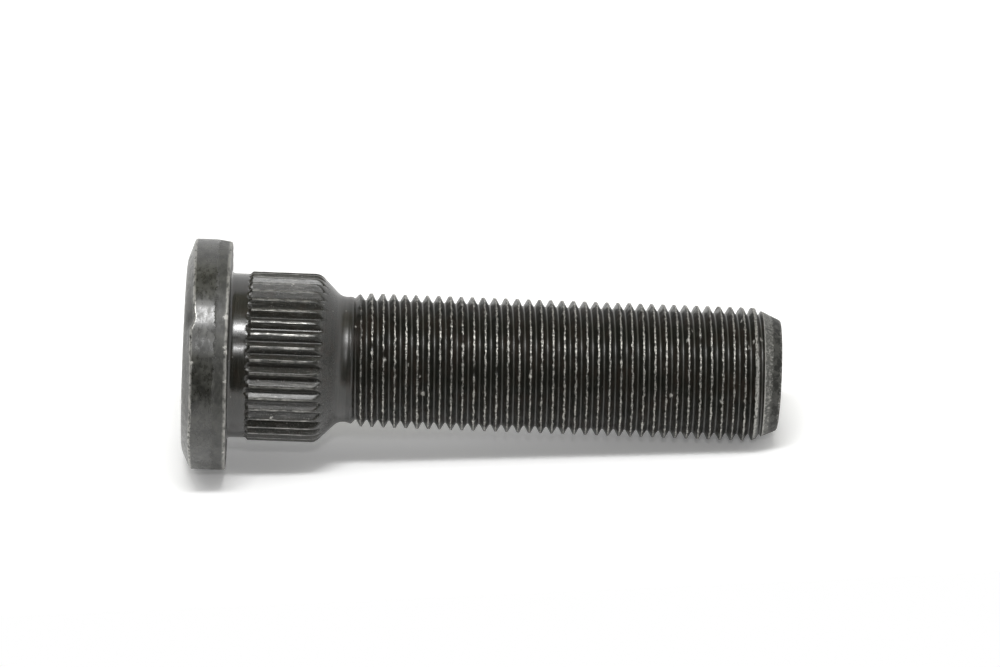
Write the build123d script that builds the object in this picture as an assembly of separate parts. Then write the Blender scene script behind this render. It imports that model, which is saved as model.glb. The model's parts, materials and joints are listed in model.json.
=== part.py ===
from build123d import *
import os
from math import pi, radians, tan

# A press-in wheel stud: one forged, turned and rolled piece of steel.
# It stands on its head. The axis is Z, and the origin is the centre of the head's outer face.
# All sizes are in millimetres, and angles are in degrees.

# Head: a flat disc with a bevelled outer face
head_diameter = 30.8
head_thickness = 5.9
head_face_diameter = 25.2
head_bevel_height = 1.2
head_edge_chamfer = 0.2

# Plain collar between the head and the knurl
collar_diameter = 21.9
collar_length = 2.55
collar_fillet = 0.6

# Knurl: straight teeth that bite into the hub's hole
knurl_diameter = 22.6
knurl_length = 9.35
knurl_tooth_count = 40
knurl_tooth_land = 0.25
knurl_groove_angle = 90.0
knurl_root_flat = 0.15
knurl_groove_runout = 0.2
knurl_end_angle = 45.0
knurl_end_rounding = 1.6

# Cone and plain neck that lead down to the thread
cone_angle = 45.0
cone_foot_fillet = 1.6
neck_diameter = 16.75
neck_length = 0.975

# Threaded shank, held here at the thread's outer diameter, with its run-in and its turned point
thread_diameter = 17.85
thread_run_in = 2.2
thread_length = 52.0
point_length = 3.5
point_end_diameter = 14.9
point_end_chamfer = 0.25

# Heights along the axis, from the head's outer face to the point
knurl_start = head_thickness + collar_length
cone_start = knurl_start + knurl_length
cone_height = (knurl_diameter - neck_diameter) / 2 / tan(radians(cone_angle))
thread_start = cone_start + cone_height + neck_length
thread_full_start = thread_start + thread_run_in
point_start = thread_full_start + thread_length
stud_length = point_start + point_length

# The knurl's groove, from the tooth spacing left between two lands
collar_radius = collar_diameter / 2
knurl_radius = knurl_diameter / 2
knurl_end_slope = tan(radians(knurl_end_angle))
tooth_pitch = 2 * pi * knurl_radius / knurl_tooth_count
flank_slope = tan(radians(knurl_groove_angle / 2))
groove_depth = (tooth_pitch - knurl_tooth_land - knurl_root_flat) / 2 / flank_slope
groove_root_radius = knurl_radius - groove_depth


def blank_outline():
    """Half section of the turned blank: radius, height and corner rounding, from head to point."""
    teeth_full_start = knurl_start + (knurl_radius - collar_radius) / knurl_end_slope
    corners = [
        (head_face_diameter / 2, 0, 0),
        (head_diameter / 2, head_bevel_height, 0),
        (head_diameter / 2, head_thickness - head_edge_chamfer, 0),
        (head_diameter / 2 - head_edge_chamfer, head_thickness, 0),
        (collar_radius, head_thickness, collar_fillet),
        (collar_radius, knurl_start, 0),
        (knurl_radius, teeth_full_start, 0),
        (knurl_radius, cone_start, knurl_end_rounding),
        (neck_diameter / 2, cone_start + cone_height, cone_foot_fillet),
        (neck_diameter / 2, thread_start, 0),
        (thread_diameter / 2, thread_full_start, 0),
        (thread_diameter / 2, point_start, 0),
        (point_end_diameter / 2, stud_length - point_end_chamfer, 0),
        (point_end_diameter / 2 - point_end_chamfer, stud_length, 0),
    ]
    points = [(0, 0)] + [(radius, height) for radius, height, rounding in corners] + [(0, stud_length)]
    roundings = [rounding for radius, height, rounding in corners]
    with BuildSketch(Plane.XZ) as outline:
        with BuildLine():
            FilletPolyline(*points, radius=roundings)
            Line((0, stud_length), (0, 0))
        make_face()
    return outline.sketch


def knurl_groove():
    """Cutter for one groove on the +X side: a V that slopes up out of the collar's surface."""
    outer_radius = knurl_radius + groove_depth
    root_half = knurl_root_flat / 2
    outer_half = root_half + (outer_radius - groove_root_radius) * flank_slope
    # The sloping end crosses the collar's surface a little below the foot of the teeth
    slope_foot = knurl_start - knurl_groove_runout
    root_foot = slope_foot + (collar_radius - groove_root_radius) / knurl_end_slope
    outer_foot = slope_foot + (collar_radius - outer_radius) / knurl_end_slope
    groove_top = cone_start + cone_height

    with BuildSketch(Plane.XY) as vee:
        with BuildLine():
            Polyline(
                (groove_root_radius, -root_half),
                (groove_root_radius, root_half),
                (outer_radius, outer_half),
                (outer_radius, -outer_half),
                close=True,
            )
        make_face()
    with BuildSketch(Plane.XZ) as side:
        with BuildLine():
            Polyline(
                (groove_root_radius, root_foot),
                (outer_radius, outer_foot),
                (outer_radius, groove_top),
                (groove_root_radius, groove_top),
                close=True,
            )
        make_face()
    return extrude(vee.sketch, groove_top) & extrude(side.sketch, outer_half, both=True)


def wheel_stud():
    """The finished stud: the turned blank with its ring of knurl grooves."""
    blank = revolve(blank_outline(), Axis.Z)
    groove = knurl_groove()
    grooves = [place * groove for place in PolarLocations(0, knurl_tooth_count)]
    return blank - grooves


os.makedirs("parts", exist_ok=True)
stud = wheel_stud()
stud.label = "wheel_stud"
export_step(stud, "parts/wheel_stud.step")
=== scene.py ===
import json
import math

import bpy
import numpy as np
from mathutils import Matrix, Vector


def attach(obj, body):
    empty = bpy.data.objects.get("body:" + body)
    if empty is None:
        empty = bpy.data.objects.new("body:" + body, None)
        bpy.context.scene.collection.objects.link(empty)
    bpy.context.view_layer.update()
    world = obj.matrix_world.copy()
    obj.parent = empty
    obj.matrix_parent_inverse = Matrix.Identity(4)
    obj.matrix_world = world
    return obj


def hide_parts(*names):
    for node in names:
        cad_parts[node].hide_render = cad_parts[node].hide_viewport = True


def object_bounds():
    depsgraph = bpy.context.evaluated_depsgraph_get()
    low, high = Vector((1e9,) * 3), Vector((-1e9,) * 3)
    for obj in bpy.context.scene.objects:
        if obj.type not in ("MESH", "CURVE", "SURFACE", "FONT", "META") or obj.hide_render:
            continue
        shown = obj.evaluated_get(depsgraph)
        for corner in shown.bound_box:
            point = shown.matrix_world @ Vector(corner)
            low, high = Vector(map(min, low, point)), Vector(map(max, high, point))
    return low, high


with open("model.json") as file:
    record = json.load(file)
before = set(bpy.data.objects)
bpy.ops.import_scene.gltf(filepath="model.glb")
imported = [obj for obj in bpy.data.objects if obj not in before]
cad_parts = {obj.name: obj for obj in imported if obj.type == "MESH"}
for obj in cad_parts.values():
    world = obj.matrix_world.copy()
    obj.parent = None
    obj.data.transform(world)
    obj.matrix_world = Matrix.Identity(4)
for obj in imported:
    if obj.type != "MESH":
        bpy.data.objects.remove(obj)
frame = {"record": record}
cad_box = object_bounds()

# A press-in wheel stud of blackened steel. It stands on its head, with its axis along Z.
# Sizes are in millimetres until the mesh is made. Names that end in _deg are angles in degrees.
NODE = "wheel_stud"
BODY = "root"
MM = 0.001
FULL_TURN = 2 * math.pi

mounts = {mount["name"]: mount for mount in frame["record"]["mounts"]}


def mount_span(name):
    """Lowest height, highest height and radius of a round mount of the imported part."""
    middle = mounts[name]["pos_m"][2] / MM
    half = mounts[name]["dims"]["length_mm"] / 2
    return middle - half, middle + half, mounts[name]["dims"]["r_mm"]


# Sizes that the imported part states
head_radius = cad_box[1].x / MM
stud_length = cad_box[1].z / MM
head_thickness = mounts["seat_face"]["pos_m"][2] / MM
knurl_start, cone_start, knurl_radius = mount_span("knurl")
thread_full_start, point_start, thread_radius = mount_span("thread")

# Head
face_radius = 12.6
face_corner_rounding = 4.0
bevel_height = 1.2
rim_edge_rounding = 0.3
seat_edge_rounding = 0.25
rim_line_height = 4.2
rim_line_step = 0.02
rim_line_width = 0.15

# Collar and knurl
collar_radius = 10.95
collar_fillet = 0.6
tooth_count = 40
tooth_land = 0.25
groove_angle_deg = 90.0
groove_root_flat = 0.15
groove_runout = 0.2
groove_lip_rounding = 0.012
knurl_end_rounding = 1.6

# Cone and neck
cone_angle_deg = 45.0
cone_foot_fillet = 1.6
neck_radius = 8.375

# Thread and point
thread_pitch = 1.5
thread_root_radius = 8.0
thread_start = 21.7
thread_crest_height = 24.614
point_end_radius = 7.45
point_end_rounding = 0.35
point_end_chamfer = 0.25

# Where the photograph was taken from, in its frame of 1000 by 667 pixels.
# The foot is the place on the stud's axis that is nearest to the camera.
IMAGE_WIDTH = 1000
IMAGE_CENTRE = (500.0, 333.5)
FOOT_PIXEL = (335.6, 358.9)
FOOT_HEIGHT = 20.16
AXIS_SLOPE = 0.0376
MM_PER_PIXEL = 0.13364
CAMERA_DISTANCE = 800.0
SENSOR_WIDTH = 36.0
CAMERA_TURN = math.radians(46.4)
TABLE_ELEVATION = math.radians(26.0)

# Directions round the stud: towards the camera, and up in the photograph
AXIS = Vector((0, 0, 1))
TOWARD = Vector((math.cos(CAMERA_TURN), math.sin(CAMERA_TURN), 0))
PHOTO_UP = TOWARD.cross(AXIS)
PHOTO_UP_TURN = math.atan2(PHOTO_UP.y, PHOTO_UP.x)

# Mesh: finishes, points on a rounded corner, the angle of a sharp edge, columns round the axis,
# the spacing of rows, and the part of a flat end's radius at which its innermost ring stands
HEAD, KNURL, THREAD, POINT = range(4)
RUB_ATTRIBUTE = "rub"
ARC_POINTS = 5
SHARP_EDGE_DEG = 42.0
HEAD_COLUMNS = 300
THREAD_COLUMNS = 160
FACE_ROW_STEP = 1.5
ROW_STEP = 0.45
TOOTH_ROW_STEP = 0.9
POLE_RING_PART = 3


def turn_at(above_deg):
    """Angle round the axis of a place seen so many degrees above the camera's direction."""
    return CAMERA_TURN - math.radians(above_deg)


def even_turns(columns):
    """Angles of so many columns spread evenly round the axis."""
    return np.arange(columns) / columns * FULL_TURN


# Shape helpers

def smooth_step(values, low, high):
    """0 below low, 1 above high, and a smooth rise between them."""
    share = np.clip((np.asarray(values, float) - low) / (high - low), 0, 1)
    return share * share * (3 - 2 * share)


def bell(values, middle, width):
    """1 at the middle, falling to nothing on both sides."""
    return np.exp(-(((values - middle) / width) ** 2))


def soft_min(first, second, softness):
    """The lower of two surfaces, with the corner between them rounded."""
    low = np.minimum(first, second)
    gap = np.abs(first - second)
    return low - softness * np.log1p(np.exp(-gap / softness))


def wave_noise(turns, heights, waves):
    """Smooth random field from about -1 to 1 over the angle and the height, the same on every run.

    Waves is a seed, how many waves are added up, and the finest one's lobes round the stud.
    """
    seed, count, finest = waves
    draw = np.random.default_rng(seed)
    total = np.zeros(np.broadcast(turns, heights).shape)
    for wave in range(count):
        lobes = draw.integers(1, finest + 1)
        per_mm = draw.uniform(-1, 1) * finest / head_radius
        phase = draw.uniform(0, FULL_TURN)
        total = total + np.sin(lobes * turns + per_mm * heights + phase)
    return total / math.sqrt(count) / 2


def turn_between(turns, other):
    """Difference of two angles, brought to within half a turn."""
    return (turns - other + math.pi) % FULL_TURN - math.pi


def dent(turns, heights, radius, place):
    """Depth of one dent at each point: place is height, angle above the camera, length, width, depth."""
    height, above_deg, length, width, depth = place
    across = turn_between(turns, turn_at(above_deg)) * radius
    return depth * bell(heights, height, length / 2) * bell(across, 0.0, width / 2)


def corner_arc(before, here, after, rounding):
    """Points of the arc that rounds the corner between two straight runs."""
    to_before = (before - here) / np.linalg.norm(before - here)
    to_after = (after - here) / np.linalg.norm(after - here)
    half_angle = math.acos(np.clip(to_before @ to_after, -1, 1)) / 2
    middle = (to_before + to_after) / np.linalg.norm(to_before + to_after)
    centre = here + middle * rounding / math.sin(half_angle)
    reach = rounding / math.tan(half_angle)
    first = here + to_before * reach - centre
    last = here + to_after * reach - centre
    sweep = math.pi - 2 * half_angle
    points = []
    for share in np.linspace(0, 1, ARC_POINTS):
        weight_first = math.sin((1 - share) * sweep) / math.sin(sweep)
        weight_last = math.sin(share * sweep) / math.sin(sweep)
        points.append(centre + first * weight_first + last * weight_last)
    return points


def rounded_profile(corners, step):
    """Rows along a half section, as radius, height and rub.

    A corner is its radius, height, rounding and rub.
    """
    rows = []
    for index, (radius, height, rounding, rub) in enumerate(corners):
        here = np.array((radius, height))
        points = [here]
        if rounding > 0:
            before = np.array(corners[index - 1][:2])
            after = np.array(corners[index + 1][:2])
            points = corner_arc(before, here, after, rounding)
        if rows:
            start = np.array(rows[-1][:2])
            count = max(1, math.ceil(np.linalg.norm(points[0] - start) / step))
            for part in range(1, count):
                rows.append((*(start + (points[0] - start) * part / count), 0.0))
        rows.extend((*point, rub) for point in points)
    return rows


def new_object(name, data):
    """A new object in the scene."""
    made = bpy.data.objects.new(name, data)
    bpy.context.scene.collection.objects.link(made)
    return made


def neighbours(ring):
    """Each point of a ring with the next one."""
    return zip(ring, ring[1:] + ring[:1])


class StudMesh:
    """Rings of points round the axis, joined from the head's face to the point's face."""

    def __init__(self):
        self.points = []
        self.rub = []
        self.faces = []
        self.finishes = []
        self.ring = None
        self.ring_turns = None

    def add_points(self, turns, radii, heights, rub):
        """Adds a row of points and returns their numbers."""
        turns, radii, heights, rub = np.broadcast_arrays(turns, radii, heights, rub)
        first = len(self.points)
        self.points.extend(zip(radii * np.cos(turns), radii * np.sin(turns), heights))
        self.rub.extend(rub)
        return list(range(first, len(self.points)))

    def add_face(self, corners, finish):
        """Adds a face, without the corners that fall together."""
        kept = [corner for n, corner in enumerate(corners) if corner != corners[n - 1]]
        if len(kept) >= 3:
            self.faces.append(kept)
            self.finishes.append(finish)

    def start_pole(self, turns, radius, height, finish):
        """Closes the head's face: a fan from the axis to the first ring."""
        pole = self.add_points(0.0, [0.0], height, 0.0)[0]
        ring = self.add_points(turns, radius, height, 0.0)
        for here, after in neighbours(ring):
            self.add_face([pole, after, here], finish)
        self.ring = ring
        self.ring_turns = turns

    def end_pole(self, height, finish):
        """Closes the point's face: a fan from the last ring to the axis."""
        pole = self.add_points(0.0, [0.0], height, 0.0)[0]
        for here, after in neighbours(self.ring):
            self.add_face([here, after, pole], finish)

    def add_ring(self, turns, radii, heights, rub, finish):
        """Adds the next ring. A ring with other angles is joined by triangles."""
        ring = self.add_points(turns, radii, heights, rub)
        if len(turns) == len(self.ring_turns):
            for low, high in zip(neighbours(self.ring), neighbours(ring)):
                self.add_face([low[0], low[1], high[1], high[0]], finish)
        else:
            self.zip_rings(ring, turns, finish)
        self.ring = ring
        self.ring_turns = turns

    def zip_rings(self, ring, turns, finish):
        """Joins two rings with different numbers of points by a band of triangles."""
        low, high = 0, 0
        low_count, high_count = len(self.ring), len(ring)
        while low < low_count or high < high_count:
            low_next = self.ring_turns[low + 1] if low + 1 < low_count else FULL_TURN
            high_next = turns[high + 1] if high + 1 < high_count else FULL_TURN
            low_point = self.ring[low % low_count]
            high_point = ring[high % high_count]
            if high == high_count or (low < low_count and low_next <= high_next):
                low += 1
                self.add_face([low_point, self.ring[low % low_count], high_point], finish)
            else:
                high += 1
                self.add_face([low_point, ring[high % high_count], high_point], finish)

    def to_object(self, name, materials):
        """The finished object in metres, with its rub attribute, finishes and sharp edges."""
        mesh = bpy.data.meshes.new(name)
        points = np.array(self.points, float) * MM
        mesh.from_pydata(points.tolist(), [], self.faces)
        for material in materials:
            mesh.materials.append(material)
        mesh.polygons.foreach_set("material_index", self.finishes)
        rub = mesh.attributes.new(RUB_ATTRIBUTE, "FLOAT", "POINT")
        rub.data.foreach_set("value", np.array(self.rub, np.float32))
        mesh.shade_smooth()
        mesh.set_sharp_from_angle(angle=math.radians(SHARP_EDGE_DEG))
        mesh.validate()
        return new_object(name, mesh)


# Head and collar

head_turns = even_turns(HEAD_COLUMNS)

# How far the head's two edges stray along the axis: degrees above the camera, and millimetres
bevel_edge_places = [
    (-77, 0.09), (-49, -0.11), (-30, 0.0), (-20, 0.0), (-4, -0.11), (4, -0.2), (12, -0.23),
    (15, 0.18), (18, 0.37), (22, 0.19), (28, 0.03), (70, -0.18), (180, 0.05),
]
seat_edge_places = [(-80, 0.08), (-50, 0.15), (-20, 0.08), (5, 0.0), (70, 0.0), (180, 0.0)]

# Unevenness of the edges, its reach along the axis, and how far in from the rim it is full
BEVEL_EDGE_WAVES = (11, 12, 50)
SEAT_EDGE_WAVES = (12, 12, 50)
edge_unevenness = 0.03
edge_reach = 0.7
edge_inset = 0.3

# The flat on the rim that mirrors the main lamp as a patch with a sharp border
rim_flat_above_deg = 19.6
rim_flat_half_deg = 4.65

# Dents in the rim: height, angle above the camera, length, width, depth
rim_dents = [
    (6.0, 80.0, 2.6, 9.0, 0.4),
    (5.8, 12.0, 0.7, 1.6, 0.12),
    (1.3, 42.0, 0.9, 2.2, 0.10),
    (1.5, -5.0, 1.0, 1.2, 0.12),
    (3.0, -48.0, 1.2, 1.5, 0.05),
    (5.7, -62.0, 0.8, 2.0, 0.12),
    (1.4, 150.0, 1.0, 3.0, 0.12),
    (5.7, 200.0, 0.9, 2.4, 0.15),
]

# Unevenness of the rim, and how far in from it this fades
RIM_WAVES = (13, 24, 26)
rim_unevenness = 0.015
rim_fade_insets = (0.6, 0.2)

# Rows beside the head's edges, which keep their roundings tight. Those on the bevel are given by
# how far they stand in from the rim and below the bevel's edge.
bevel_rows = [(1.4, 0.6), (0.3, 0.128)]
bevel_edge_margin = 0.3
seat_edge_margin = 0.5
seat_row_inset = 0.28
collar_end_gap = 0.15


def edge_stray(places, waves):
    """How far an edge strays along the axis in each column of the head."""
    above = np.degrees(-turn_between(head_turns, CAMERA_TURN))
    degrees, shifts = zip(*places)
    shift = np.interp(above, degrees, shifts, period=360)
    return shift + edge_unevenness * wave_noise(head_turns, 0.0, waves)


bevel_stray = edge_stray(bevel_edge_places, BEVEL_EDGE_WAVES)
seat_stray = edge_stray(seat_edge_places, SEAT_EDGE_WAVES)


def rim_flat():
    """Radius of the rim's flat in each column, larger than the rim outside it."""
    # Far from the flat the angle is held at a radian, so that its cosine stays well above 0
    offset = np.clip(turn_between(head_turns, turn_at(rim_flat_above_deg)), -1, 1)
    return head_radius * math.cos(math.radians(rim_flat_half_deg)) / np.cos(offset)


def head_surface(radius, height):
    """Radii and heights round one row of the head, with the unevenness of a forging."""
    near_rim = smooth_step(radius, face_radius, head_radius - edge_inset)
    heights = height + near_rim * bell(height, bevel_height, edge_reach) * bevel_stray
    heights = heights + near_rim * bell(height, head_thickness, edge_reach) * seat_stray
    fade_start, fade_end = rim_fade_insets
    on_rim = smooth_step(radius, head_radius - fade_start, head_radius - fade_end)
    below_line = 1 - smooth_step(height, rim_line_height, rim_line_height + rim_line_width)
    radii = radius - on_rim * (1 - below_line) * rim_line_step
    radii = radii - on_rim * rim_unevenness * (1 + wave_noise(head_turns, height, RIM_WAVES))
    takes_flat = below_line * on_rim > 0.5
    radii = np.where(takes_flat, np.minimum(radii, rim_flat()), radii)
    for place in rim_dents:
        radii = radii - on_rim * dent(head_turns, heights, head_radius, place)
    return radii, np.clip(heights, 0, None)


def add_head(mesh):
    """Outer face, bevel, rim, seat face and collar."""
    face = [
        (face_radius / POLE_RING_PART, 0, 0, 0),
        (face_radius, 0, face_corner_rounding, 0),
        (head_radius, bevel_height, 0, 0),
    ]
    rim = [(head_radius - inset, bevel_height - drop, 0, 0) for inset, drop in bevel_rows]
    rim += [
        (head_radius, bevel_height, rim_edge_rounding, 1),
        (head_radius, bevel_height + bevel_edge_margin, 0, 0),
        (head_radius, head_thickness - seat_edge_margin, 0, 0),
        (head_radius, head_thickness, seat_edge_rounding, 1),
        (head_radius - seat_row_inset, head_thickness, 0, 0),
        (collar_radius, head_thickness, collar_fillet, 0),
        (collar_radius, knurl_start - groove_runout - collar_end_gap, 0, 0),
    ]
    # The last two of the face's rows lie on the bevel, where the rim's own rows stand instead
    face_rows = rounded_profile(face, FACE_ROW_STEP)[:-2]
    mesh.start_pole(head_turns, face_rows[0][0], face_rows[0][1], HEAD)
    for radius, height, rub in face_rows[1:] + rounded_profile(rim, ROW_STEP):
        radii, heights = head_surface(radius, height)
        finish = HEAD if radius > collar_radius + collar_fillet / 2 else KNURL
        mesh.add_ring(head_turns, radii, heights, rub, finish)


# Knurl, cone and neck

# Columns of points on each side of a groove's middle
FLANK_COLUMNS_DEG = (0.41, 1.2, 2.2, 2.95, 3.45, 3.7, 3.87)
TOOTH_WAVES = (21, 20, 60)
crest_unevenness = 0.02
cone_height = (knurl_radius - neck_radius) / math.tan(math.radians(cone_angle_deg))
cone_end = cone_start + cone_height
teeth_full_start = knurl_start + knurl_radius - collar_radius

# How far the grooves reach onto the cone, a row on the cone, and a row at the teeth's foot
groove_reach = 1.1
cone_row = 0.7
tooth_end_row = 0.1

# Distances before the cone between which the lands' rub fades out. A land lies where a groove's
# V, carried on outwards, stands above the crest, and its rub fades in between these heights.
land_fade = (1.0, 0.5)
land_edge = (0.01, 0.05)


def knurl_columns():
    """Angles of the points round the knurl, close together at each groove's lips and root."""
    tooth_deg = 360 / tooth_count
    columns = [tooth_deg / 2]
    for column in FLANK_COLUMNS_DEG:
        columns.extend((-column, column))
    degrees = [tooth * tooth_deg + column for tooth in range(tooth_count) for column in columns]
    return np.sort(np.radians(degrees) % FULL_TURN)


def shoulder_profile():
    """Half section from the collar over the knurl's crests and down the cone to the neck."""
    corners = [
        (collar_radius, knurl_start - groove_runout, 0, 0),
        (collar_radius, knurl_start, 0, 0),
        (knurl_radius, teeth_full_start, 0, 0),
        (knurl_radius, teeth_full_start + tooth_end_row, 0, 0),
        (knurl_radius, cone_start, knurl_end_rounding, 0),
        (knurl_radius - cone_row, cone_start + cone_row, 0, 0),
        (neck_radius, cone_end, cone_foot_fillet, 0),
        (neck_radius, thread_start, 0, 0),
    ]
    return rounded_profile(corners, TOOTH_ROW_STEP)


def groove_floor(turns, height):
    """Radius of the grooves' floor at each angle: a V with a flat root and a sloping end at the head."""
    slope = math.tan(math.radians(groove_angle_deg / 2))
    pitch = FULL_TURN * knurl_radius / tooth_count
    depth = (pitch - tooth_land - groove_root_flat) / 2 / slope
    root = knurl_radius - depth
    tooth_turn = FULL_TURN / tooth_count
    offset = np.abs((turns + tooth_turn / 2) % tooth_turn - tooth_turn / 2)
    flank = (root * slope - groove_root_flat / 2) / (slope * np.cos(offset) - np.sin(offset))
    sloping_end = collar_radius - (height - knurl_start + groove_runout)
    return np.maximum(np.maximum(flank, root / np.cos(offset)), sloping_end)


def land_rub(crest, floor, height):
    """Rub of the points in one row: 1 on the teeth's lands, and none at the teeth's two ends."""
    fade_start, fade_end = land_fade
    in_rub = smooth_step(height, teeth_full_start, teeth_full_start + tooth_end_row)
    in_rub = in_rub * (1 - smooth_step(height, cone_start - fade_start, cone_start - fade_end))
    return smooth_step(floor - crest, *land_edge) * in_rub


def add_shoulder(mesh):
    """Knurled shoulder, cone and plain neck."""
    turns = knurl_columns()
    neck_turns = even_turns(THREAD_COLUMNS)
    for radius, height, rub in shoulder_profile():
        if height > cone_start + groove_reach:
            mesh.add_ring(neck_turns, radius, height, rub, KNURL)
            continue
        crest = radius - crest_unevenness * (1 + wave_noise(turns, height, TOOTH_WAVES))
        floor = groove_floor(turns, height)
        radii = soft_min(crest, floor, groove_lip_rounding)
        mesh.add_ring(turns, radii, height, land_rub(crest, floor, height), KNURL)


# Thread and point

# The thread's section, in parts of the pitch. Shares are parts of the thread's depth.
CREST_HALF = 1 / 16
CREST_EDGE = 0.05
LOWER_EDGE_PLACE = 1 - (CREST_HALF + CREST_EDGE)
ROOT_HALF = 0.07
FLANK_FOOT = 0.05
ROOT_EDGE_SHARE = 0.035
NICKED_SHARE = 0.4

# Unevenness of the crests and the point. A crest's two sides are each ragged in their own way.
WOBBLE_WAVES = (33, 16, 50)
RAGGED_WAVES = {-1: (33, 24, 80), 1: (35, 24, 80)}
POINT_WAVES = (41, 16, 30)
crest_wobble = 0.045
crest_raggedness = 0.065
point_unevenness = 0.015

# Distances from the thread's start between which its roots fade in, and after which rub fades in
root_fade = (0.4, 1.2)
rub_start = 0.9

# How much the last crest widens, and the distances before the point between which it does so
last_crest_widening = 0.06
widening_span = (1.0, 0.3)

# Depths of a nick between which the rub fades out
nick_fade = (0.05, 0.15)

# Rub of the point: its cone, the band at the cone's foot, and the edge of its end face
CONE_RUB = 0.45
CONE_EDGE_RUB = 0.8
POINT_EDGE_RUB = 0.5
cone_edge_band = 0.4

# The thread ends on the point's cone, a little past where its roots meet it. Its rows keep a
# margin from the rings at its two ends, and a flank that the cone cuts keeps a least height.
point_slope = (thread_radius - point_end_radius) / (stud_length - point_end_chamfer - point_start)
thread_end_margin = 0.25
thread_end = point_start + (thread_radius - thread_root_radius) / point_slope + thread_end_margin
ring_margin = 0.02
least_flank = 0.02

# Nicks in the thread's crests: height, angle above the camera, length, width, depth
crest_nicks = [
    (24.9, 10.7, 1.0, 1.0, 0.26),
    (26.7, 5.0, 1.0, 1.0, 0.24),
    (37.0, 21.5, 0.9, 1.0, 0.20),
    (38.5, -6.6, 0.7, 1.4, 0.18),
    (41.6, -4.3, 0.7, 1.3, 0.18),
    (44.3, 22.0, 0.6, 1.2, 0.14),
    (31.5, -20.0, 0.7, 0.9, 0.12),
    (52.3, 33.0, 0.8, 1.0, 0.12),
    (68.5, 28.6, 0.9, 1.2, 0.14),
]

# Small nicks at random places: their number, length, and least and greatest width and depth
NICK_SEED = 31
NICK_COUNT = 60
nick_length = 0.6
nick_widths = (0.4, 1.1)
nick_depths = (0.04, 0.11)


def seeded_nicks():
    """Small nicks at random places round the whole thread, the same on every run."""
    draw = np.random.default_rng(NICK_SEED)
    places = []
    for nick in range(NICK_COUNT):
        height = draw.uniform(thread_full_start, point_start)
        above_deg = draw.uniform(0, 360)
        width = draw.uniform(*nick_widths)
        depth = draw.uniform(*nick_depths)
        places.append((height, above_deg, nick_length, width, depth))
    return places


all_nicks = crest_nicks + seeded_nicks()


def depth_share(places):
    """Share of the thread's depth at places along the pitch, where 0 is a crest and 0.5 a root."""
    return np.interp(places, [CREST_HALF, 0.5 - ROOT_HALF, 0.5], [1.0, ROOT_EDGE_SHARE, 0.0])


def cone_radius(heights):
    """Radius of the point's cone."""
    return thread_radius - (heights - point_start) * point_slope


def thread_section():
    """One turn from crest to crest: place along the pitch, share of the depth, rub, and crest side."""
    root_edge = 0.5 - ROOT_HALF
    places = [0.0, CREST_HALF, CREST_HALF + CREST_EDGE, root_edge - FLANK_FOOT, root_edge, 0.5]
    rubs = [1.0, 1.0, 0.0, 0.0, 0.0, 0.0]
    sides = [0, 1, 1, 0, 0, 0]
    half = list(zip(places, depth_share(places), rubs, sides))
    other_half = [(1 - place, share, rub, -side) for place, share, rub, side in reversed(half[1:-1])]
    return half + other_half


def thread_surface_radius(height, above_deg):
    """Radius of the thread's surface at one place."""
    turns_up = (turn_at(above_deg) - PHOTO_UP_TURN) / FULL_TURN
    along = (height - thread_crest_height) / thread_pitch - turns_up
    place = abs((along + 0.5) % 1 - 0.5)
    return float(thread_radii(height, depth_share(place)))


def nick_depth(turns, heights):
    """Depth of all the nicks together at each point of a helical row."""
    return sum(dent(turns, heights, thread_radius, place) for place in all_nicks)


def thread_radii(heights, share):
    """Radius of one helical row, which fades in from the neck."""
    fade_start, fade_end = root_fade
    crest_fade = np.clip((heights - thread_start) / (thread_full_start - thread_start), 0, 1)
    in_root = smooth_step(heights, thread_start + fade_start, thread_start + fade_end)
    crest = neck_radius + crest_fade * (thread_radius - neck_radius)
    root = neck_radius + in_root * (thread_root_radius - neck_radius)
    return root + share * (crest - root)


def cone_edge(turn_start):
    """Height where the flank below the next crest meets the point's cone."""
    depth = thread_radius - thread_root_radius
    foot = turn_start + thread_pitch * (0.5 + ROOT_HALF)
    foot_radius = thread_root_radius + ROOT_EDGE_SHARE * depth
    flank_slope = depth * (1 - ROOT_EDGE_SHARE) / (thread_pitch * (0.5 - ROOT_HALF - CREST_HALF))
    above_foot = cone_radius(foot) - foot_radius
    return foot + np.maximum(above_foot, least_flank) / (flank_slope + point_slope)


def crest_side_shift(turns, heights, side):
    """How far one side of a crest is moved along the axis: side is 1 above the crest and -1 below."""
    start, end = widening_span
    wider = smooth_step(heights, point_start - start, point_start - end) * last_crest_widening
    wider = wider + crest_raggedness * wave_noise(turns, heights, RAGGED_WAVES[side])
    return side * wider * thread_pitch


def thread_row(turns, turn_start, step):
    """One helical row: its heights, radii and rub, and where it lies on the point's cone.

    Step is one entry of the thread's section.
    """
    place, share, rub, side = step
    heights = turn_start + thread_pitch * place
    if side:
        heights = heights + crest_side_shift(turns, heights, side)
    heights = heights + share * crest_wobble * wave_noise(turns, heights, WOBBLE_WAVES)
    # The edge row below a crest slides down to where its flank meets the cone
    edge = cone_edge(turn_start)
    slides = (place == LOWER_EDGE_PLACE) & (heights > edge)
    heights = np.where(slides, edge, heights)
    nicks = nick_depth(turns, heights) if share > NICKED_SHARE else 0.0
    radii = thread_radii(heights, share) - nicks
    cone = cone_radius(heights)
    on_cone = cone < radii
    in_rub = smooth_step(heights, thread_start + rub_start, thread_full_start)
    worn = rub * in_rub * (1 - smooth_step(nicks, *nick_fade))
    cone_rub = np.where(heights < point_start + cone_edge_band, CONE_EDGE_RUB, CONE_RUB)
    worn = np.where(on_cone, cone_rub, worn)
    worn = np.where(slides, 1.0, worn)
    return heights, np.minimum(radii, cone), worn, on_cone


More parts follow.
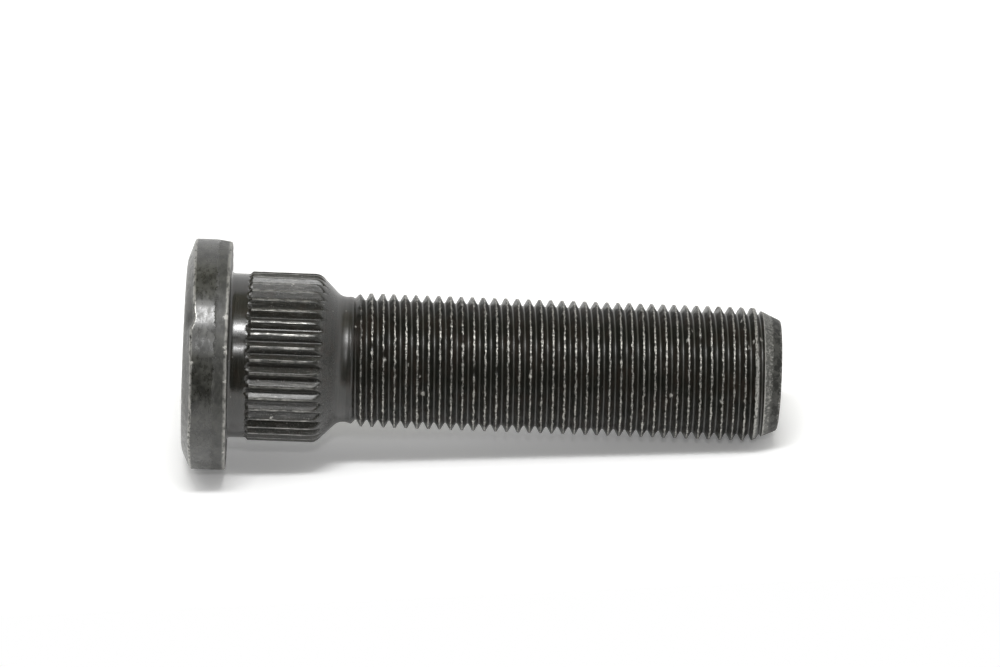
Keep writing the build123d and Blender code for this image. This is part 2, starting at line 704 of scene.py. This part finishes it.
def join_thread_rows(mesh, rows, row_on_cone, turn_rows):
    """Faces between neighbouring helical rows. Each row goes on in the same row of the next turn."""
    for index in range(len(rows) - turn_rows - 1):
        low = rows[index] + [rows[index + turn_rows][0]]
        high = rows[index + 1] + [rows[index + turn_rows + 1][0]]
        on_cone = row_on_cone[index] & row_on_cone[index + 1]
        for n in range(THREAD_COLUMNS):
            after = (n + 1) % THREAD_COLUMNS
            finish = POINT if on_cone[n] and on_cone[after] else THREAD
            mesh.add_face([low[n], low[n + 1], high[n + 1], high[n]], finish)


def add_thread(mesh):
    """The right-hand helix, between the neck's ring and a ring on the point."""
    turns = even_turns(THREAD_COLUMNS)
    start_ring = np.array(mesh.ring)
    end_ring = np.array(mesh.add_points(turns, cone_radius(thread_end), thread_end, 0.0))
    rise = thread_pitch * turns / FULL_TURN
    lowest = thread_crest_height - thread_pitch * (PHOTO_UP_TURN % FULL_TURN) / FULL_TURN
    # Spare turns past both ends fall onto the two rings and leave no faces
    first_turn = math.floor((thread_start - lowest) / thread_pitch) - 2
    last_turn = math.ceil((thread_end - lowest) / thread_pitch) + 1
    section = thread_section()
    rows = []
    row_on_cone = []
    for turn in range(first_turn, last_turn + 1):
        turn_start = lowest + thread_pitch * turn + rise
        for step in section:
            heights, radii, worn, on_cone = thread_row(turns, turn_start, step)
            row = np.where(heights <= thread_start + ring_margin, start_ring, end_ring)
            past_end = heights >= thread_end - ring_margin
            inside = (heights > thread_start + ring_margin) & ~past_end
            row[inside] = mesh.add_points(turns[inside], radii[inside], heights[inside], worn[inside])
            rows.append(row.tolist())
            row_on_cone.append(on_cone | past_end)
    join_thread_rows(mesh, rows, row_on_cone, len(section))
    mesh.ring = end_ring.tolist()
    mesh.ring_turns = turns


def add_point(mesh):
    """The turned point and its flat end."""
    turns = mesh.ring_turns
    corner_radius = point_end_radius - point_end_chamfer * point_slope
    corners = [
        (cone_radius(thread_end), thread_end, 0, 0),
        (corner_radius, stud_length, point_end_rounding, POINT_EDGE_RUB),
        (corner_radius / POLE_RING_PART, stud_length, 0, 0),
    ]
    for radius, height, rub in rounded_profile(corners, ROW_STEP)[1:]:
        rough = point_unevenness * wave_noise(turns, height, POINT_WAVES)
        on_side = float(height < stud_length)
        mesh.add_ring(turns, radius + rough * on_side, height, rub, POINT)
    mesh.end_pole(stud_length, POINT)


# Materials

BLACK_OXIDE = (0.0132, 0.0133, 0.0110, 1)
THREAD_BLACK = (0.0082, 0.0086, 0.0062, 1)
WARM_OXIDE = (0.020, 0.0147, 0.0108, 1)
# This grey is also given to the thread's roots, where it is a painted reflection of their rounding.
GREY_OXIDE_AND_ROOT_SHEEN = (0.053, 0.053, 0.047, 1)
PALE_OXIDE = (0.093, 0.093, 0.082, 1)
WORN_STEEL = (0.36, 0.355, 0.335, 1)
DULL_STEEL = (0.40, 0.392, 0.362, 1)
CHIP_GREY = (0.46, 0.45, 0.42, 1)
HEAD_IOR = 1.66
BEVEL_IOR = 1.43
COLLAR_IOR = 1.66
TEETH_IOR = 1.55
CONE_IOR = 1.49
NECK_IOR = 1.68
THREAD_IOR = 1.61
POINT_IOR = 1.54
DARK_POINT_IOR = 1.36

# Shape of the marks in the finish: how ragged a chip is, the solid core of a chip and of a speck,
# and how far turning marks drift
CHIP_RAGGEDNESS = 0.5
CHIP_CORE = 0.5
SPECK_CORE = 0.4
MARK_DRIFT = 0.15

# Heights or radii between which one finish passes into another
bevel_zone_end = (bevel_height + 0.05, bevel_height - 0.15)
rough_zone_start = (rim_line_height - 0.1, rim_line_height + 0.15)
collar_zone_end = (knurl_start - 0.2, knurl_start + 0.1)
teeth_zone_end = (cone_start + 1.0, cone_start)
groove_floor_zone = (knurl_radius - 0.65, knurl_radius - 0.3)
cone_zone_start = (cone_start + 0.2, cone_start + 1.2)
neck_zone_start = (cone_end - 1.4, cone_end + 0.4)
# Radii between which the thread's roots take their paler grey, a painted reflection of the roots'
# rounding
painted_root_sheen_zone = (thread_root_radius + 0.09, thread_root_radius)
far_point_start = (point_start + 1.9, point_start + 2.5)

# Bright chips: height, angle above the camera, radius, size
head_chips = [
    (1.3, -4.5, 15.3, 0.35), (5.6, 18.8, 15.4, 0.50), (5.7, 3.8, 15.35, 0.30),
    (5.8, 1.2, 15.35, 0.35), (5.8, -13.3, 15.3, 0.30), (5.8, -57.2, 15.3, 0.25),
    (2.5, 190.0, 15.4, 0.25), (5.6, 230.0, 15.4, 0.40),
]
knurl_chips = [
    (11.1, 15.8, 11.25, 0.20), (14.1, 59.5, 11.2, 0.20), (11.9, -47.3, 11.0, 0.30),
    (15.0, 160.0, 11.2, 0.25),
]
# Chips on the thread: height, angle above the camera, size
thread_chips = [
    (24.9, 6.5, 0.33), (26.7, 1.0, 0.31), (31.95, -31.0, 0.40), (31.4, -12.5, 0.22),
    (29.8, -2.6, 0.20), (22.66, 32.6, 0.17), (30.8, 36.8, 0.22), (36.95, 15.5, 0.33),
    (38.8, -58.9, 0.33), (43.0, 20.0, 0.33), (43.0, 13.5, 0.33), (46.0, -8.9, 0.28),
    (61.2, -54.0, 0.33), (64.7, -23.0, 0.33), (66.7, 28.7, 0.33), (67.3, 41.4, 0.28),
    (71.4, -25.8, 0.38), (73.95, 56.2, 0.28), (74.85, 25.3, 0.33), (75.5, 30.8, 0.28),
    (76.4, 35.1, 0.28), (48.0, 170.0, 0.33), (60.0, 230.0, 0.28),
]


class Graph:
    """A short way to add nodes to a tree. An input is a number, a colour or another node's socket."""

    def __init__(self, tree):
        self.tree = tree
        tree.nodes.clear()

    def add(self, kind, inputs, **settings):
        """Adds a node, sets its options, and sets or links its inputs."""
        node = self.tree.nodes.new(kind)
        for name, value in settings.items():
            setattr(node, name, value)
        for key, value in inputs.items():
            if isinstance(value, bpy.types.NodeSocket):
                self.tree.links.new(value, node.inputs[key])
            else:
                node.inputs[key].default_value = value
        return node

    def math(self, operation, values):
        """One operation on some values in turn."""
        result = values[0]
        for value in values[1:]:
            inputs = {0: result, 1: value}
            result = self.add("ShaderNodeMath", inputs, operation=operation).outputs[0]
        return result

    def plus(self, *values):
        """The sum of some values."""
        return self.math("ADD", values)

    def product(self, *values):
        """The product of some values."""
        return self.math("MULTIPLY", values)

    def most(self, *values):
        """The largest of some values."""
        return self.math("MAXIMUM", values)

    def span(self, value, low, high):
        """0 at low, 1 at high, and a smooth rise between them."""
        inputs = {"Value": value, "From Min": low, "From Max": high}
        return self.add("ShaderNodeMapRange", inputs, interpolation_type="SMOOTHSTEP").outputs[0]

    def scale_to(self, value, low, high):
        """Carries 0 to 1 over to low to high."""
        inputs = {"Value": value, "To Min": low, "To Max": high}
        return self.add("ShaderNodeMapRange", inputs).outputs[0]

    def mix(self, share, first, second):
        """A colour between two others."""
        return self.add("ShaderNodeMix", {0: share, 6: first, 7: second}, data_type="RGBA").outputs[2]

    def vector(self, operation, first, second):
        """Sum, product and the like of two places."""
        return self.add("ShaderNodeVectorMath", {0: first, 1: second}, operation=operation).outputs[0]

    def scaled_height(self, position, factor):
        """The place with its height scaled, which stretches or squeezes a pattern along the axis."""
        return self.vector("MULTIPLY", position, (1, 1, factor))

    def noise(self, position, scale, detail, roughness=0.5):
        """Cloudy pattern around 0.5."""
        inputs = {"Vector": position, "Scale": scale, "Detail": detail, "Roughness": roughness}
        return self.add("ShaderNodeTexNoise", inputs).outputs[0]

    def fine_noise(self, position):
        """The fine pattern of flecks and of the chips' borders."""
        return self.noise(position, 5.0, 4, 0.6)

    def specks(self, position, scale, size):
        """Scattered small spots: 1 inside a spot."""
        inputs = {"Vector": position, "Scale": scale}
        distance = self.add("ShaderNodeTexVoronoi", inputs).outputs["Distance"]
        return self.span(distance, size, size * SPECK_CORE)

    def chips(self, position, fine, places):
        """Ragged bright chips at given places: 1 inside a chip."""
        ragged = self.scale_to(fine, -CHIP_RAGGEDNESS, CHIP_RAGGEDNESS)
        spots = []
        for height, above_deg, radius, size in places:
            turn = turn_at(above_deg)
            centre = (radius * math.cos(turn), radius * math.sin(turn), height)
            inputs = {0: position, 1: centre}
            distance = self.add("ShaderNodeVectorMath", inputs, operation="DISTANCE").outputs["Value"]
            spots.append(self.span(self.plus(distance, ragged), size, size * CHIP_CORE))
        return self.most(*spots)

    def chipped(self, colour, wear, chips):
        """Colour and wear of a surface with pale chips on it."""
        return self.mix(chips, colour, CHIP_GREY), self.product(wear, self.scale_to(chips, 1, 0))

    def millimetres(self):
        """The place on the stud, in millimetres."""
        place = self.add("ShaderNodeTexCoord", {}).outputs["Object"]
        inputs = {0: place, "Scale": 1 / MM}
        return self.add("ShaderNodeVectorMath", inputs, operation="SCALE").outputs[0]

    def height(self, position):
        """Height of a place on the axis."""
        return self.add("ShaderNodeSeparateXYZ", {0: position}).outputs["Z"]

    def radius(self, position):
        """Distance of a place from the axis."""
        flat = self.scaled_height(position, 0)
        return self.add("ShaderNodeVectorMath", {0: flat}, operation="LENGTH").outputs["Value"]

    def rub(self):
        """The mesh's own measure of where it is rubbed."""
        return self.add("ShaderNodeAttribute", {}, attribute_name=RUB_ATTRIBUTE).outputs["Fac"]

    def turning_marks(self, position, per_mm):
        """Fine marks that run round the axis, which follow the radius and the height."""
        inputs = {
            "X": self.product(self.radius(position), per_mm),
            "Y": self.product(self.height(position), per_mm),
        }
        across = self.add("ShaderNodeCombineXYZ", inputs).outputs[0]
        drift = self.vector("MULTIPLY", position, (MARK_DRIFT, MARK_DRIFT, MARK_DRIFT))
        return self.noise(self.vector("ADD", across, drift), 1.0, 3, 0.6)


def new_graph(name):
    """A new material and its empty graph."""
    material = bpy.data.materials.new(name)
    material.use_nodes = True
    return material, Graph(material.node_tree)


def oxide_surface(graph, colour, wear, steel, roughness, relief, index):
    """Black oxide where wear is 0 and bare steel where it is 1, with a fine relief in millimetres."""
    surface_colour = graph.mix(wear, colour, steel)
    bump = graph.add("ShaderNodeBump", {"Strength": 1.0, "Distance": MM, "Height": relief}).outputs[0]
    inputs = {
        "Base Color": surface_colour,
        "Metallic": wear,
        "Roughness": roughness,
        "IOR": index,
        "Normal": bump,
    }
    surface = graph.add("ShaderNodeBsdfPrincipled", inputs)
    graph.add("ShaderNodeOutputMaterial", {"Surface": surface.outputs[0]})


def head_material():
    """The head: smooth satin near the bevel, scuffed and mottled near the seat, with rubbed edges."""
    material, graph = new_graph("blackened_head")
    place = graph.millimetres()
    height = graph.height(place)
    patches = graph.noise(place, 0.55, 4, 0.6)
    strokes = graph.noise(graph.scaled_height(place, 1.7), 1.2, 6, 0.68)
    fine = graph.fine_noise(place)
    marks = graph.turning_marks(place, 1.8)
    scuffed = graph.span(strokes, 0.35, 0.7)
    border = graph.plus(height, graph.scale_to(strokes, -0.8, 0.8))
    rough_zone = graph.span(border, *rough_zone_start)
    bevel_zone = graph.span(height, *bevel_zone_end)

    blotches = graph.product(graph.scale_to(scuffed, 0.3, 1.0), graph.span(patches, 0.32, 0.65))
    dusty = graph.most(blotches, graph.product(bevel_zone, graph.scale_to(marks, -0.4, 0.75)))
    colour = graph.mix(graph.product(dusty, 0.74), BLACK_OXIDE, PALE_OXIDE)

    edge = graph.product(graph.rub(), graph.span(strokes, 0.32, 0.6))
    flecks = graph.product(graph.span(fine, 0.62, 0.74), graph.scale_to(rough_zone, 0.08, 0.35))
    streaks = graph.product(bevel_zone, graph.span(marks, 0.45, 0.7), 0.07)
    wear = graph.most(edge, flecks, streaks)
    colour, wear = graph.chipped(colour, wear, graph.chips(place, fine, head_chips))

    roughness = graph.plus(graph.scale_to(rough_zone, 0.25, 0.44), graph.product(scuffed, 0.16))
    relief = graph.product(strokes, graph.scale_to(rough_zone, 0.012, 0.07))
    index = graph.scale_to(bevel_zone, HEAD_IOR, BEVEL_IOR)
    oxide_surface(graph, colour, wear, WORN_STEEL, roughness, relief, index)
    return material


def knurl_material():
    """Collar, knurl, cone and neck: oily turned steel, with the teeth's lands rubbed in patches."""
    material, graph = new_graph("blackened_knurl")
    place = graph.millimetres()
    patches = graph.noise(place, 0.8, 5, 0.6)
    fine = graph.fine_noise(place)
    marks = graph.turning_marks(place, 4.0)
    broken = graph.noise(graph.scaled_height(place, 0.25), 3.0, 5, 0.65)
    scratches = graph.noise(graph.scaled_height(place, 0.12), 4.5, 4, 0.7)

    height = graph.height(place)
    past_collar = graph.span(height, *collar_zone_end)
    teeth = graph.product(past_collar, graph.span(height, *teeth_zone_end))
    on_cone = graph.span(height, *cone_zone_start)
    on_neck = graph.span(height, *neck_zone_start)
    off_floor = graph.product(teeth, graph.span(graph.radius(place), *groove_floor_zone))

    colour = graph.mix(graph.span(patches, 0.4, 0.75), BLACK_OXIDE, WARM_OXIDE)
    colour = graph.mix(graph.product(graph.span(marks, 0.4, 0.7), 0.35), colour, GREY_OXIDE_AND_ROOT_SHEEN)
    scuffs = graph.product(off_floor, graph.span(scratches, 0.42, 0.7), 0.4)
    colour = graph.mix(scuffs, colour, PALE_OXIDE)

    lands = graph.product(graph.rub(), graph.span(broken, 0.37, 0.6), graph.span(patches, 0.32, 0.56))
    flecks = graph.product(teeth, graph.span(fine, 0.58, 0.7), 0.4)
    dust = graph.product(graph.specks(place, 0.6, 0.09), 0.5)
    streaks = graph.product(off_floor, graph.span(scratches, 0.56, 0.7), 0.3)
    wear = graph.most(lands, flecks, dust, streaks)
    colour, wear = graph.chipped(colour, wear, graph.chips(place, fine, knurl_chips))

    roughness = graph.plus(
        0.18,
        graph.product(graph.span(broken, 0.3, 0.75), 0.08),
        graph.product(teeth, 0.10),
        graph.product(on_cone, 0.05),
        graph.product(on_neck, 0.08),
    )
    relief = graph.plus(
        graph.product(broken, graph.scale_to(past_collar, 0.001, 0.006)),
        graph.product(marks, 0.0008),
        graph.product(scratches, teeth, 0.022),
    )
    index = graph.plus(
        graph.scale_to(past_collar, COLLAR_IOR, CONE_IOR),
        graph.product(teeth, TEETH_IOR - CONE_IOR),
        graph.product(on_neck, NECK_IOR - CONE_IOR),
    )
    oxide_surface(graph, colour, wear, WORN_STEEL, roughness, relief, index)
    return material


def thread_material():
    """Rolled thread: near black flanks, roots in a paler grey that is a painted reflection of their
    rounding, and crests rubbed to ragged bright lines.
    """
    material, graph = new_graph("blackened_thread")
    place = graph.millimetres()
    stains = graph.noise(place, 0.35, 5, 0.6)
    broken = graph.noise(place, 1.7, 5, 0.7)
    fine = graph.fine_noise(place)
    grain = graph.noise(place, 3.2, 3, 0.6)
    rub = graph.rub()
    flank = graph.mix(graph.span(stains, 0.4, 0.7), THREAD_BLACK, WARM_OXIDE)
    # The roots' paler grey is a painted reflection of their rounding.
    in_root = graph.span(graph.radius(place), *painted_root_sheen_zone)
    colour = graph.mix(in_root, flank, GREY_OXIDE_AND_ROOT_SHEEN)

    ragged = graph.plus(rub, graph.scale_to(broken, -0.8, 0.8))
    crests = graph.product(
        graph.span(ragged, 0.55, 0.95),
        graph.span(rub, 0.0, 0.3),
        graph.scale_to(graph.span(grain, 0.38, 0.62), 0.08, 1.0),
    )
    specks = graph.product(graph.specks(place, 0.7, 0.10), graph.span(stains, 0.5, 0.6), 0.7)
    wear = graph.most(crests, specks)
    seated_chips = []
    for height, above_deg, size in thread_chips:
        seated_chips.append((height, above_deg, thread_surface_radius(height, above_deg), size))
    colour, wear = graph.chipped(colour, wear, graph.chips(place, fine, seated_chips))

    roughness = graph.scale_to(rub, 0.32, 0.40)
    relief = graph.product(grain, graph.scale_to(rub, 0.01, 0.10))
    oxide_surface(graph, colour, wear, DULL_STEEL, roughness, relief, THREAD_IOR)
    return material


def point_material():
    """The turned point: matt and grainy, darker in patches, with a paler edge."""
    material, graph = new_graph("blackened_point")
    place = graph.millimetres()
    grain = graph.noise(place, 3.0, 5, 0.7)
    patches = graph.noise(place, 0.9, 4, 0.65)
    far_part = graph.span(graph.height(place), *far_point_start)
    dark = graph.product(far_part, graph.scale_to(graph.span(patches, 0.42, 0.56), 0.5, 1.0))
    colour = graph.mix(graph.span(grain, 0.35, 0.7), GREY_OXIDE_AND_ROOT_SHEEN, PALE_OXIDE)
    colour = graph.mix(dark, colour, BLACK_OXIDE)
    ragged = graph.plus(graph.rub(), graph.scale_to(grain, -1.0, 1.0))
    wear = graph.span(ragged, 0.4, 0.85)
    roughness = graph.scale_to(grain, 0.45, 0.6)
    relief = graph.product(grain, 0.06)
    index = graph.scale_to(dark, POINT_IOR, DARK_POINT_IOR)
    oxide_surface(graph, colour, wear, WORN_STEEL, roughness, relief, index)
    return material


def make_stud():
    """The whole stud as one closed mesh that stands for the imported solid."""
    mesh = StudMesh()
    add_head(mesh)
    add_shoulder(mesh)
    add_thread(mesh)
    add_point(mesh)
    materials = [head_material(), knurl_material(), thread_material(), point_material()]
    stud = mesh.to_object("threaded_stud", materials)
    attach(stud, BODY)
    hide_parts(NODE)


# Stage: the white sheet that the stud lies on in the photograph, and the light. Sizes are in metres.

SHEET_WIDTH = 2.4
SHEET_FRONT = 0.042
SHEET_BACK = 1.2
SHEET_WHITE = 1.0
SHEET_GLOW = 0.15
ROOM_LIGHT = 0.6

# Cloth of the dark cards: its two tints, as parts of a card's tone, and the scale of its pattern
CLOTH_DARK = (1, 1, 0.75)
CLOTH_LIGHT = (1.5, 1.5, 1.15)
CLOTH_WEAVE_SCALE = 0.05

# Lamps: degrees above the camera, distance, middle along the axis, width, depth, irradiance,
# and whether the stud mirrors it
LAMPS = {
    "main_lamp": (39.2, 0.8, -0.03, 0.30, 0.08, 1.55, True),
    "soft_lamp": (44.0, 0.82, -0.10, 1.00, 0.28, 0.9, False),
    "flash": (9.5, 0.8, 0.03, 0.08, 0.045, 0.33, True),
}

# Dark cards: lowest and highest degrees above the camera, distance, middle along the axis, width, tone
DARK_CARDS = {
    "dark_side": (-52.0, 29.0, 0.9, 0.05, 1.4, 0.055),
    "dim_ceiling": (50.0, 98.0, 1.0, 0.05, 1.4, 0.35),
}


def plane_at(name, centre, right, normal, width, height):
    """A flat rectangle with its middle at centre."""
    up = normal.cross(right)
    corners = [(-1, -1), (1, -1), (1, 1), (-1, 1)]
    points = [centre + right * (x * width / 2) + up * (y * height / 2) for x, y in corners]
    mesh = bpy.data.meshes.new(name)
    mesh.from_pydata([point[:] for point in points], [], [(0, 1, 2, 3)])
    card = new_object(name, mesh)
    return card


def shown_rays(graph):
    """1 for the camera's rays and for those that a reflection or a clear piece passes on, else 0."""
    path = graph.add("ShaderNodeLightPath", {}).outputs
    return graph.most(path["Is Camera Ray"], path["Is Glossy Ray"], path["Is Transmission Ray"])


def sheet_material():
    """White sheet, clear from behind. It glows a little where it is seen, so that it is white."""
    material, graph = new_graph("white_sheet")
    white = (SHEET_WHITE, SHEET_WHITE, SHEET_WHITE, 1)
    shade = graph.add("ShaderNodeBsdfDiffuse", {"Color": white}).outputs[0]
    strength = graph.product(shown_rays(graph), SHEET_GLOW)
    glow = graph.add("ShaderNodeEmission", {"Strength": strength}).outputs[0]
    front = graph.add("ShaderNodeAddShader", {0: shade, 1: glow}).outputs[0]
    clear = graph.add("ShaderNodeBsdfTransparent", {}).outputs[0]
    behind = graph.add("ShaderNodeNewGeometry", {}).outputs["Backfacing"]
    both = graph.add("ShaderNodeMixShader", {0: behind, 1: front, 2: clear}).outputs[0]
    graph.add("ShaderNodeOutputMaterial", {"Surface": both})
    return material


def add_sheet():
    """The sheet under the stud as it lies in the photograph, on its head's rim and its last thread."""
    seat_edge = head_thickness - seat_edge_rounding
    tilt = math.atan2(head_radius - thread_radius, point_start - seat_edge)
    level_up = PHOTO_UP * math.cos(TABLE_ELEVATION) + TOWARD * math.sin(TABLE_ELEVATION)
    normal = level_up * math.cos(tilt) - AXIS * math.sin(tilt)
    along = AXIS * math.cos(tilt) + level_up * math.sin(tilt)
    touch = AXIS * (seat_edge * MM) - level_up * (head_radius * MM)
    away = normal.cross(along)
    centre = touch + away * ((SHEET_BACK - SHEET_FRONT) / 2)
    sheet = plane_at("sheet", centre, along, normal, SHEET_WIDTH, SHEET_BACK + SHEET_FRONT)
    sheet.data.materials.append(sheet_material())


def add_world():
    """White to the camera and in reflections, and an even soft light for the rest."""
    world = bpy.data.worlds.new("white_room")
    world.use_nodes = True
    graph = Graph(world.node_tree)
    shown = shown_rays(graph)
    white = (1, 1, 1, 1)
    soft = graph.add("ShaderNodeBackground", {"Color": white, "Strength": ROOM_LIGHT}).outputs[0]
    bright = graph.add("ShaderNodeBackground", {"Color": white, "Strength": 1.0}).outputs[0]
    both = graph.add("ShaderNodeMixShader", {0: shown, 1: soft, 2: bright}).outputs[0]
    graph.add("ShaderNodeOutputWorld", {"Surface": both})
    bpy.context.scene.world = world


def direction_above(above_deg):
    """Direction square to the axis, so many degrees above the camera's."""
    above = math.radians(above_deg)
    return TOWARD * math.cos(above) + PHOTO_UP * math.sin(above)


def add_lamp(name, above_deg, distance, along, width, depth, irradiance, mirrored):
    """A rectangular lamp that faces the stud. Along is its middle's height on the axis."""
    light = bpy.data.lights.new(name, "AREA")
    light.shape = "RECTANGLE"
    light.size = width
    light.size_y = depth
    light.energy = math.pi * irradiance * distance**2
    lamp = new_object(name, light)
    back = direction_above(above_deg)
    turn = Matrix((AXIS, back.cross(AXIS), back)).transposed().to_4x4()
    lamp.matrix_world = Matrix.Translation(back * distance + AXIS * along) @ turn
    lamp.visible_camera = False
    lamp.visible_glossy = mirrored


def add_dark_card(name, low_deg, high_deg, distance, along, width, tone):
    """A dark side of the room, for the stud to mirror. The camera looks through it."""
    middle = direction_above((low_deg + high_deg) / 2)
    depth = 2 * distance * math.tan(math.radians((high_deg - low_deg) / 2))
    centre = middle * distance + AXIS * along
    card = plane_at(name, centre, AXIS, -middle, width, depth)
    material, graph = new_graph(name + "_cloth")
    weave = graph.noise(graph.millimetres(), CLOTH_WEAVE_SCALE, 3)
    dark = [tone * tint for tint in CLOTH_DARK] + [1]
    light = [tone * tint for tint in CLOTH_LIGHT] + [1]
    shade = graph.add("ShaderNodeBsdfDiffuse", {"Color": graph.mix(weave, dark, light)}).outputs[0]
    graph.add("ShaderNodeOutputMaterial", {"Surface": shade})
    card.data.materials.append(material)
    card.visible_camera = False


def add_light():
    """Room light, the two lamps above the camera, its flash, and the dark sides of the room."""
    add_world()
    for name, lamp in LAMPS.items():
        add_lamp(name, *lamp)
    for name, card in DARK_CARDS.items():
        add_dark_card(name, *card)


def add_camera():
    """The photograph's camera, from where the axis and its foot stand in the picture."""
    focal = CAMERA_DISTANCE / MM_PER_PIXEL
    right = FOOT_PIXEL[0] - IMAGE_CENTRE[0]
    up = IMAGE_CENTRE[1] - FOOT_PIXEL[1]
    sight = Vector((right, up, -focal)).normalized()
    axis = Vector((1, -AXIS_SLOPE, 0))
    axis.z = -(axis.x * sight.x + axis.y * sight.y) / sight.z
    axis.normalize()
    in_camera = Matrix((axis, (-sight).cross(axis), -sight))
    in_scene = Matrix((AXIS, PHOTO_UP, TOWARD))
    turn = (in_scene.transposed() @ in_camera).to_4x4()
    place = (AXIS * FOOT_HEIGHT + TOWARD * CAMERA_DISTANCE) * MM
    data = bpy.data.cameras.new("photo_camera")
    data.sensor_width = SENSOR_WIDTH
    data.lens = focal * SENSOR_WIDTH / IMAGE_WIDTH
    camera = new_object("photo_camera", data)
    camera.matrix_world = Matrix.Translation(place) @ turn
    bpy.context.scene.camera = camera


make_stud()
add_sheet()
add_light()
add_camera()
bpy.context.scene.view_settings.view_transform = "Standard"
